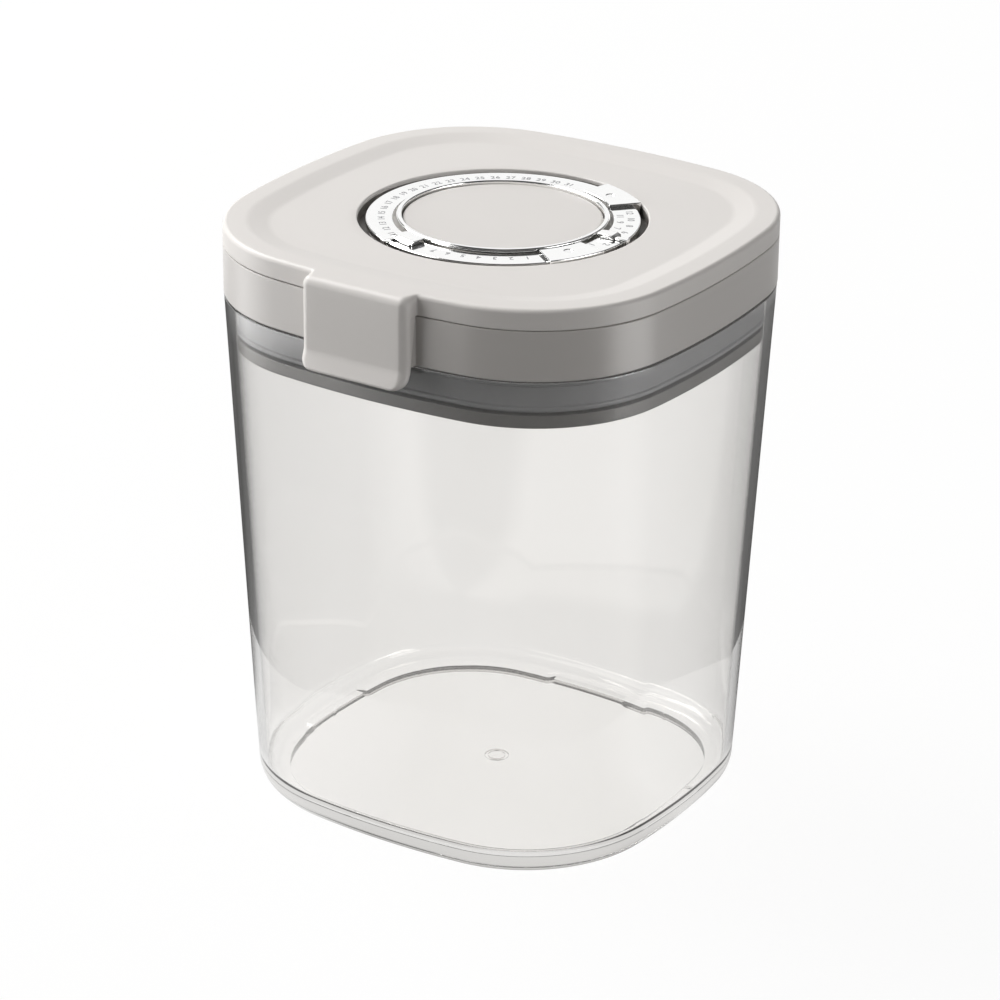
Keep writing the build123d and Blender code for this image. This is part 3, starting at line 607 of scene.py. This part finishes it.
# Gasket: soft band in the skirt's groove, with two rounded lips towards the jar wall
gasket = {
    "bottom": gasketLow[2], "top": gasketHigh[2], "reach": 0.6, "groove": 1.3, "lipHeight": 1.1, "lipInset": 0.9,
    "clearance": 0.35, "seat": 4.9, "lipRound": 0.4, "edgeRound": 0.3, "bandRound": 0.25, "smallRound": 0.1,
    "backRun": 1.0, "perSide": 20, "perCorner": 40,
}


def makeGasket():
    turns = turnsRound(gasket)
    lip, thick = jar["wall"] + gasket["clearance"], gasket["lipHeight"]
    body, low, high = lip + gasket["reach"], gasket["bottom"], gasket["top"]
    first, second, deep = low + gasket["lipInset"], high - gasket["lipInset"] - thick, body + gasket["groove"]
    soft, edge, band, small = (gasket[k] for k in ("lipRound", "edgeRound", "bandRound", "smallRound"))
    outside = roundedProfile([(deep, low, small), (deep, first, small), (lip, first, edge),
                              (lip, first + thick, soft), (body, first + thick, band), (body, second, band),
                              (lip, second, soft), (lip, second + thick, soft), (body, second + thick, band),
                              (body, high, edge), (body + gasket["backRun"], high, 0)], steps=4)
    back = [(gasket["seat"], high), (gasket["seat"], low)]
    rows = carried(outside, turns, jarPlan(low)), carried(back, turns)
    return surfaceMesh(np.concatenate(rows), closeRows=True)


finishPiece("gasketBand", [makeGasket()], gasketRubber, "lid", "lid_gasket")
print("gasket: band with two lips")

# Button: flat cap with a rounded edge, skirt, stop flange and hollow stem, turned about the pump's axis
button = {
    "face": 20.0, "radius": 24.85, "plate": 2.1, "edge": 0.7, "skirt": 1.6, "flange": 1.3, "flangeBottom": 139.0,
    "flangeHeight": 1.6, "flangeRound": 0.25, "skirtRound": 0.5, "stem": 3.2, "stemFillet": 0.8, "smallRound": 0.2,
    "bore": 1.25, "boreEdge": 0.1, "boreDepth": 6.0, "columns": 192,
}


def makeButton():
    top, stem, small, soft = buttonHigh[2], button["stem"], button["smallRound"], button["flangeRound"]
    radius, low = button["radius"], button["flangeBottom"]
    under, flangeTop, flange = top - button["plate"], low + button["flangeHeight"], radius + button["flange"]
    inner = radius - button["skirt"]
    pistonTop = boxMm("piston_head")[1][2]
    boreTop = pistonTop + button["boreDepth"]
    profile = roundedProfile([(button["face"], top, 0), (radius, top, button["edge"]), (radius, flangeTop, small),
                              (flange, flangeTop, soft), (flange, low, soft), (inner, low, soft),
                              (inner, under, button["skirtRound"]), (stem, under, button["stemFillet"]),
                              (stem, pistonTop, small), (button["bore"], pistonTop, button["boreEdge"]),
                              (button["bore"], boreTop, 0)], steps=5)
    return surfaceMesh(turned(profile, evenly(button["columns"])), poles=((0, 0, top), (0, 0, boreTop)))


finishPiece("buttonCap", [makeButton()], buttonPlastic, "button", "pump_button")
print("button: cap, skirt and stem")

# Bezel: chromed ring that frames the button
bezel = {"outer": 26.4, "inner": 25.0, "footRound": 0.1, "round": 0.45, "columns": 256}


def makeBezel():
    (bottom, top), outer, inner = (level[2] for level in boxMm("bezel_ring")), bezel["outer"], bezel["inner"]
    profile = roundedProfile([(inner, bottom, bezel["footRound"]), (outer, bottom, bezel["footRound"]),
                              (outer, top, bezel["round"]), (inner, top, bezel["round"])],
                             steps=6, closed=True)
    return surfaceMesh(turned(profile, evenly(bezel["columns"])), closeRows=True)


finishPiece("bezelRing", [makeBezel()], chrome, "lid", "bezel_ring")

# Ring segments, for the dial's stops and the markers' hooks: "arc" is the angle of one step along them
segment = {"arc": 1.25, "least": 3, "endRows": 5}


def blockSection(inner, outer, low, high, rounding, less):
    # closed section of a ring segment: square foot, rounded top corners, drawn in by less all round
    bend, reach = quarter(segment["endRows"]), rounding - less
    side = np.r_[less, rounding - reach * np.cos(bend)]
    level = np.r_[low, high - rounding + reach * np.sin(bend)]
    return stacked(np.r_[outer - side, inner + side[::-1]], np.r_[level, level[::-1]])


def alongArc(start, end, radius, corner, rows):
    # angles from end to end, closer where a corner turns, and each one's distance from its end, up to the corner
    first, last = math.radians(start), math.radians(end)
    fromEnd = corner * (1 - np.cos(quarter(rows)))
    near = fromEnd / radius
    steps = max(segment["least"], round((end - start) / segment["arc"]))
    middle = np.linspace(first + near[-1], last - near[-1], steps + 1)[1:-1]
    distance = np.r_[fromEnd, np.full(len(middle), corner), fromEnd[::-1]]
    return np.r_[first + near, middle, last - near[::-1]], distance


def sectorBlock(inner, outer, start, end, low, high, rounding):
    # ring segment from start to end: near each end its section draws in along a quarter circle
    angles, fromEnd = alongArc(start, end, (inner + outer) / 2, rounding, segment["endRows"])
    return blockMesh([turned(blockSection(inner, outer, low, high, rounding, less), angle)
                      for angle, less in zip(angles, drawnIn(rounding, fromEnd))])


def carve(mesh, tool):
    # exact Boolean difference of two closed meshes, kept as mesh data
    pair = [placed("carvePiece", joinMeshes("carvePiece", [data])) for data in (mesh, tool)]
    modifier = pair[0].modifiers.new("carve", "BOOLEAN")
    modifier.operation, modifier.solver, modifier.object = "DIFFERENCE", "EXACT", pair[1]
    graph = bpy.context.evaluated_depsgraph_get()
    result = bpy.data.meshes.new_from_object(pair[0].evaluated_get(graph))
    for item in pair:
        bpy.data.objects.remove(item)
    return result


# Dial: chromed ring with two fixed stops, each with a dimple
landLevel = boxMm("dial_plate")[0][2]
dial = {
    "outer": 34.0, "inner": 27.3, "thick": 1.4, "footRound": 0.1, "edge": 0.35, "stopOuter": 35.6,
    "stopHeight": 0.85, "stopRound": 0.3, "stopGap": 0.05, "stops": ((48.0, 75.0), (-39.0, -14.0)),
    "dimple": 1.2, "dimpleDepth": 0.3, "dimpleRows": 6, "dimpleColumns": 32, "dimpleOver": 1.0, "columns": 288,
}
dialTop = landLevel + dial["thick"]


def makeDimple(angle):
    # shallow bowl: a lens of the dimple's radius, sunk from the stop's top
    radius, depth = dial["dimple"], dial["dimpleDepth"]
    middle, top = (dial["inner"] + dial["outer"]) / 2, dialTop + dial["stopHeight"]
    bend, over = quarter(dial["dimpleRows"])[:-1], top + dial["dimpleOver"]
    bowl = stacked(radius * np.cos(bend), top - depth * np.sin(bend))
    profile = np.r_[bowl[::-1], [(radius, over)]]
    centre = middle * math.cos(angle), middle * math.sin(angle)
    points = turned(profile, evenly(dial["dimpleColumns"]), centre)
    return surfaceMesh(points, poles=((*centre, top - depth), (*centre, over)))


def makeDial():
    inner, outer, foot, edge = (dial[k] for k in ("inner", "outer", "footRound", "edge"))
    profile = roundedProfile([(inner, landLevel, foot), (outer, landLevel, foot), (outer, dialTop, edge),
                              (inner, dialTop, edge / 2)], closed=True)
    parts = [surfaceMesh(turned(profile, evenly(dial["columns"])), closeRows=True)]
    for start, end in dial["stops"]:
        block = sectorBlock(inner, dial["stopOuter"], start, end, landLevel + dial["stopGap"],
                            dialTop + dial["stopHeight"], dial["stopRound"])
        parts.append(carve(block, makeDimple(math.radians((start + end) / 2))))
    return parts


finishPiece("dialPlate", makeDial(), chrome, "lid", "dial_plate")

# Markers: small blocks that slide round the dial, bevelled towards its edge, each held by a narrow hook.
# "sink" is how far the hook's pieces run into each other
marker = {
    "outer": 32.0, "inner": 26.75, "thick": 0.95, "gap": 0.15, "bevelRun": 1.1, "bevelDrop": 0.55, "edge": 0.15,
    "corner": 0.6, "cornerRows": 8, "reach": 35.1, "hookWall": 0.8, "hookPlate": 0.5, "hookDepth": 2.6,
    "foot": 0.9, "footHeight": 0.4, "hookMargin": 0.5, "hookTurn": 2.7, "armRound": 0.2, "hookRound": 0.1,
    "sink": 0.15, "narrower": 0.05, "skin": 0.01,
}
markers = {"day_marker": (-116.0, -101.8), "month_marker": (1.0, 7.4)}


def markerBlock(start, end, low, top):
    # radial sections: near an end the walls draw in along the corner's arc, and the top along its edge's arc
    corner, edge, inner = marker["corner"], marker["edge"], marker["inner"]
    flat = marker["outer"] - marker["bevelRun"]
    angles, fromEnd = alongArc(start, end, (inner + marker["outer"]) / 2, corner, marker["cornerRows"])
    sections = []
    for angle, draw, drop in zip(angles, drawnIn(corner, fromEnd), drawnIn(edge, fromEnd)):
        outer, crest = marker["outer"] - draw, top - drop
        shoulder = crest - marker["bevelDrop"] * (outer - flat) / marker["bevelRun"]
        section = roundedProfile([(outer, low, 0), (outer, shoulder, edge), (flat, crest, edge),
                                  (inner + draw, crest, edge), (inner + draw, low, 0)],
                                 steps=4, closed=True)
        sections.append(turned(section, angle))
    return blockMesh(sections)


def makeMarker(first, last):
    low = dialTop + marker["gap"]
    hookTop, start = low + marker["hookPlate"], first + marker["hookMargin"]
    end, bottom = start + marker["hookTurn"], hookTop - marker["hookDepth"]
    hookInner, soft, reach = marker["reach"] - marker["hookWall"], marker["hookRound"], marker["reach"]
    block = markerBlock(first, last, low, low + marker["thick"])
    arm = sectorBlock(marker["outer"] - marker["bevelRun"], reach, start, end, low, hookTop, marker["armRound"])
    # the hook's wall and foot are a little narrower, so that no two faces lie in one plane
    less, skin = marker["narrower"], marker["skin"]
    hook = sectorBlock(hookInner, reach - 2 * skin, start + less, end - less, bottom, low + marker["sink"], soft)
    foot = sectorBlock(hookInner - marker["foot"], hookInner + 2 * less, start + 2 * less, end - 2 * less,
                       bottom + skin, bottom + marker["footHeight"], soft)
    return [block, arm, hook, foot]


for markerNode, span in markers.items():
    finishPiece(markerNode.replace("_m", "M"), makeMarker(*span), chrome, markerNode, markerNode)
print("dial: plate, stops, bezel and markers")

# Numbers on the dial: days clockwise from the fixed stop, months in two staggered rows
numbers = {
    "height": 1.75, "thick": 0.02, "digitShare": 0.69, "smooth": 3,
    "days": {"count": 31, "first": -46.1, "pitch": -7.5, "radii": (30.0, 30.0)},
    "months": {"count": 12, "first": -9.5, "pitch": 4.5, "radii": (28.9, 31.5)},
}


def makeNumbers():
    meshes = []
    for row, n in [(numbers[k], n) for k in ("days", "months") for n in range(numbers[k]["count"])]:
        curve = bpy.data.curves.new("number", "FONT")
        curve.body, curve.align_x, curve.align_y = str(n + 1), "CENTER", "CENTER"
        curve.size, curve.extrude = numbers["height"] / numbers["digitShare"], numbers["thick"]
        curve.resolution_u = numbers["smooth"]
        item = placed("number", curve)
        mesh = bpy.data.meshes.new_from_object(item.evaluated_get(bpy.context.evaluated_depsgraph_get()))
        bpy.data.objects.remove(item)
        turn, radius = math.radians(row["first"] + row["pitch"] * n), row["radii"][n % 2]
        # digits stand with their tops outwards, on the plate
        place = Matrix.Translation((radius * math.cos(turn), radius * math.sin(turn), dialTop))
        mesh.transform(Matrix.Scale(mm, 4) @ place @ Matrix.Rotation(turn - math.pi / 2, 4, "Z"))
        meshes.append(mesh)
    return meshes


finishPiece("dialNumbers", makeNumbers(), ink, "lid", "dial_plate", replaced=False, weighted=False,
            merged=False)
print("numbers: days and months")

# Return spring: wire in seven turns, the first and last laid closer, round the pump cylinder
springLow, springHigh = (corner[2] for corner in boxMm("return_spring"))
spring = {
    "radius": 20.0, "wire": 0.6, "turns": 7, "gap": 0.2, "endPitch": 1.8, "perTurn": 64, "round": 12, "travel": 6.5,
}


def makeSpring():
    base = springLow + spring["wire"]
    high = buttonHigh[2] - button["plate"] - spring["gap"] - spring["wire"]
    turns, pitch = spring["turns"], spring["endPitch"]
    t = np.linspace(0, turns, turns * spring["perTurn"] + 1)
    middle = np.clip(t - 1, 0, turns - 2) / (turns - 2) * (high - base - 2 * pitch)
    z = base + np.minimum(t, 1) * pitch + middle + np.maximum(t - turns + 1, 0) * pitch
    angle = 2 * math.pi * t
    out = stacked(np.cos(angle), np.sin(angle), 0)
    path = out * spring["radius"] + stacked(0, 0, z)
    slope = np.gradient(z, angle) / spring["radius"]
    along = stacked(-np.sin(angle), np.cos(angle), slope)
    along /= np.linalg.norm(along, axis=1)[:, None]
    up = np.cross(along, out)
    around = evenly(spring["round"])[None, :, None]
    points = path[:, None] + spring["wire"] * (np.cos(around) * out[:, None] + np.sin(around) * up[:, None])
    return surfaceMesh(points, poles=(path[0], path[-1]))


returnSpring = finishPiece("returnSpring", [makeSpring()], steel, "lid", "return_spring", weighted=False)
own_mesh(returnSpring)
print("spring: wire of seven turns")

# Pieces that stay as built take their finish by slot
finishes = {
    "pump_plastic": pumpPlastic, "ring_plastic": ringPlastic, "cover_plastic": coverPlastic,
    "seal_rubber": sealRubber, "bright_steel": steel, "filter_felt": felt, "chrome_plating": chrome,
    "gasket_silicone": gasketRubber, "clear_jar": clear,
}
for name, node in frame["nodes"].items():
    for holder in node.material_slots:
        holder.material = finishes[slots[name]]
print("finishes: pump pieces, seals, screws and filter")

# Camera at the photograph's angle, by the azimuth and elevation of its line of sight
view = {
    "azimuth": 32.424, "elevation": 23.55, "distance": 983.0, "aim": (0.0, 0.0, 70.0), "shiftRight": 0.188,
    "shiftUp": 5.54, "roll": 0.719, "focal": 3850.0, "imageWidth": 1000, "sensor": 36.0, "clip": (0.05, 20.0),
}


def makeCamera():
    a, e, r = (math.radians(view[k]) for k in ("azimuth", "elevation", "roll"))
    back = Vector((math.sin(a) * math.cos(e), -math.cos(a) * math.cos(e), math.sin(e)))
    levelRight = Vector((math.cos(a), math.sin(a), 0))
    levelUp = back.cross(levelRight)
    right = levelRight * math.cos(r) + levelUp * math.sin(r)
    up = levelUp * math.cos(r) - levelRight * math.sin(r)
    place = Vector(view["aim"]) + back * view["distance"] + right * view["shiftRight"] + up * view["shiftUp"]
    data = bpy.data.cameras.new("camera")
    data.sensor_width = view["sensor"]
    data.lens = view["focal"] * view["sensor"] / view["imageWidth"]
    data.clip_start, data.clip_end = view["clip"]
    camera = placed("camera", data)
    camera.matrix_world = Matrix.Translation(place * mm) @ Matrix((right, up, back)).transposed().to_4x4()
    bpy.context.scene.camera = camera


makeCamera()

# Stage: white to the eye and through the jar. A mirror sees the studio by its bearing from the camera's line
# (0 towards the camera, 90 to its right): the table near the canister, its softboxes far off, what is high up.
# Each "From" pair says where its table takes over: metres from the middle, or the sine of the rise for "high"
stage = {
    "size": 6.0, "drop": 0.0001, "shadowShare": 0.06, "room": 0.12, "wallDepth": 2.5, "under": 0.85,
    "near": {-180: 0.05, -135: 0.05, -120: 0.3, -108: 1.0, -65: 1.0, -38: 0.06, 38: 0.06, 62: 0.9, 92: 0.6,
             112: 0.3, 125: 0.05, 180: 0.05},
    "farFrom": (0.325, 0.355),
    "far": {-180: 0.05, -145: 0.05, -125: 0.6, -108: 4.3, -68: 5.5, -58: 5.5, -42: 0.1, 38: 0.06, 50: 0.5,
            57: 5.5, 80: 5.0, 92: 0.8, 112: 0.4, 140: 0.1, 180: 0.05},
    "outerFrom": (0.365, 0.385),
    "outer": {-180: 1.0, -125: 1.0, -108: 4.3, -68: 4.6, -42: 0.1, 38: 0.06, 50: 0.5, 57: 5.5, 80: 5.0, 92: 0.8,
              112: 0.5, 150: 0.5, 165: 1.0, 180: 1.0},
    "highFrom": (0.14, 0.22),
    "high": {-180: 1.0, -165: 1.0, -150: 0.12, -40: 0.06, 40: 0.06, 150: 0.12, 165: 1.0, 180: 1.0},
    "edgeFrom": 0.12,
    "edge": {-180: 0.25, -140: 0.06, -60: 0.06, -38: 0.6, 38: 0.6, 60: 0.12, 140: 0.15, 180: 0.25},
}


def byBearing(add, bearing, stops):
    # strength from a table of bearings, joined by straight lines
    peak = max(stops.values())
    shares = {degrees / 360 + 0.5: (strength / peak,) * 3 + (1.0,) for degrees, strength in stops.items()}
    return add("Math", {"operation": "MULTIPLY", 1: peak}, {0: colourRamp(add, bearing, shares)})


def stageStrength(add, way):
    # what a ray meets in the studio: way is the place on the floor, in metres, or the direction to the world
    path = add("LightPath").outputs
    a = math.radians(view["azimuth"])
    unit = add("VectorMath", {"operation": "NORMALIZE"}, {0: way})
    length = add("VectorMath", {"operation": "LENGTH"}, {0: way}).outputs["Value"]
    toward, right = (add("VectorMath", {"operation": "DOT_PRODUCT", 1: axis}, {0: unit}).outputs["Value"]
                     for axis in ((math.sin(a), -math.cos(a), 0), (math.cos(a), math.sin(a), 0)))
    angle = add("Math", {"operation": "ARCTAN2"}, {0: right, 1: toward})
    bearing = add("Math", {"operation": "MULTIPLY_ADD", 1: 1 / (2 * math.pi), 2: 0.5}, {0: angle})
    rise = add("SeparateXYZ", links={0: unit}).outputs["Z"]
    light = byBearing(add, bearing, stage["near"])
    for measure, table in ((length, "far"), (length, "outer"), (rise, "high")):
        low, high = stage[table + "From"]
        light = add("MapRange", {"From Min": low, "From Max": high},
                    {"Value": measure, "To Min": light, "To Max": byBearing(add, bearing, stage[table])})
    # through one wall only, its rim and edges turn the view aside: "under" the jar, or to what "edge" holds
    shallow = add("Math", {"operation": "LESS_THAN", 1: stage["wallDepth"]}, {0: path["Transmission Depth"]})
    wall = add("Math", {"operation": "MULTIPLY"}, {0: path["Is Transmission Ray"], 1: shallow})
    beyond = add("Math", {"operation": "GREATER_THAN", 1: stage["edgeFrom"]}, {0: length})
    aside = add("MapRange", {"To Min": stage["under"]},
                {"Value": beyond, "To Max": byBearing(add, bearing, stage["edge"])})
    mirrored = add("MapRange", links={"Value": wall, "To Min": light, "To Max": aside})
    through = add("MapRange", {"To Min": 1.0}, {"Value": wall, "To Max": aside})
    # matt surfaces meet an even "room", and a ray that goes straight through meets white
    matt = add("Math", {"operation": "GREATER_THAN", 1: 0.5}, {0: path["Diffuse Depth"]})
    other = add("MapRange", {"To Max": stage["room"]}, {"Value": matt, "To Min": mirrored})
    turns = add("Math", {"operation": "ADD"}, {0: path["Glossy Depth"], 1: path["Diffuse Depth"]})
    fresh = add("Math", {"operation": "LESS_THAN", 1: 0.5}, {0: turns})
    straight = add("Math", {"operation": "MULTIPLY"}, {0: path["Is Transmission Ray"], 1: fresh})
    seen = add("MapRange", links={"Value": straight, "To Min": other, "To Max": through})
    return add("MapRange", links={"Value": path["Is Camera Ray"], "To Min": seen})


def makeFloor():
    half = stage["size"] / 2
    mesh = bpy.data.meshes.new("floor")
    mesh.from_pydata([(-half, -half, 0), (half, -half, 0), (half, half, 0), (-half, half, 0)], [], [(0, 1, 2, 3)])
    material, add, place = newMaterial("paleFloor")
    matt = add("BsdfDiffuse", {"Color": linear("#f2f1ef")})
    white = add("Emission", links={"Strength": stageStrength(add, place)})
    mix = add("MixShader", {0: 1 - stage["shadowShare"]}, {1: matt, 2: white})
    add("OutputMaterial", links={"Surface": mix})
    mesh.materials.append(material)
    floor = placed("floor", mesh)
    floor.location.z = -stage["drop"]


def makeWorld():
    world = bpy.data.worlds.new("softRoom")
    world.use_nodes = True
    world.node_tree.nodes.clear()
    add = partial(addNode, world.node_tree)
    strength = stageStrength(add, add("TexCoord").outputs["Generated"])
    light = add("Background", {"Color": (1, 1, 1, 1)}, {"Strength": strength})
    add("OutputWorld", links={"Surface": light})
    bpy.context.scene.world = world


# Lamps: softboxes by bearing from the camera's line and rise; level is what a facing white shows
lamps = {
    "backLamp": {"bearing": -124, "rise": 44, "distance": 2.6, "width": 1.6, "height": 1.6, "level": 1.02},
    "leftLamp": {"bearing": -92, "rise": 21, "distance": 2.4, "width": 2.8, "height": 2.2, "level": 0.58},
    "rightLamp": {"bearing": 62, "rise": 17, "distance": 2.4, "width": 1.2, "height": 1.2, "level": 0.25},
}
lampAim = Vector((0, 0, 0.1))


def makeLamp(name, lamp):
    bearing, rise = math.radians(view["azimuth"] - 90 + lamp["bearing"]), math.radians(lamp["rise"])
    way = Vector((math.cos(bearing) * math.cos(rise), math.sin(bearing) * math.cos(rise), math.sin(rise)))
    data = bpy.data.lights.new(name, "AREA")
    data.shape = "RECTANGLE"
    data.size, data.size_y = lamp["width"], lamp["height"]
    data.energy = lamp["level"] * (math.pi * lamp["distance"]) ** 2
    item = placed(name, data)
    item.location = lampAim + way * lamp["distance"]
    item.rotation_euler = way.to_track_quat("Z", "Y").to_euler()


makeFloor()
makeWorld()
for lampName, lampSizes in lamps.items():
    makeLamp(lampName, lampSizes)
bpy.context.scene.view_settings.view_transform = "Standard"
print("stage: camera, floor, lamps and room")
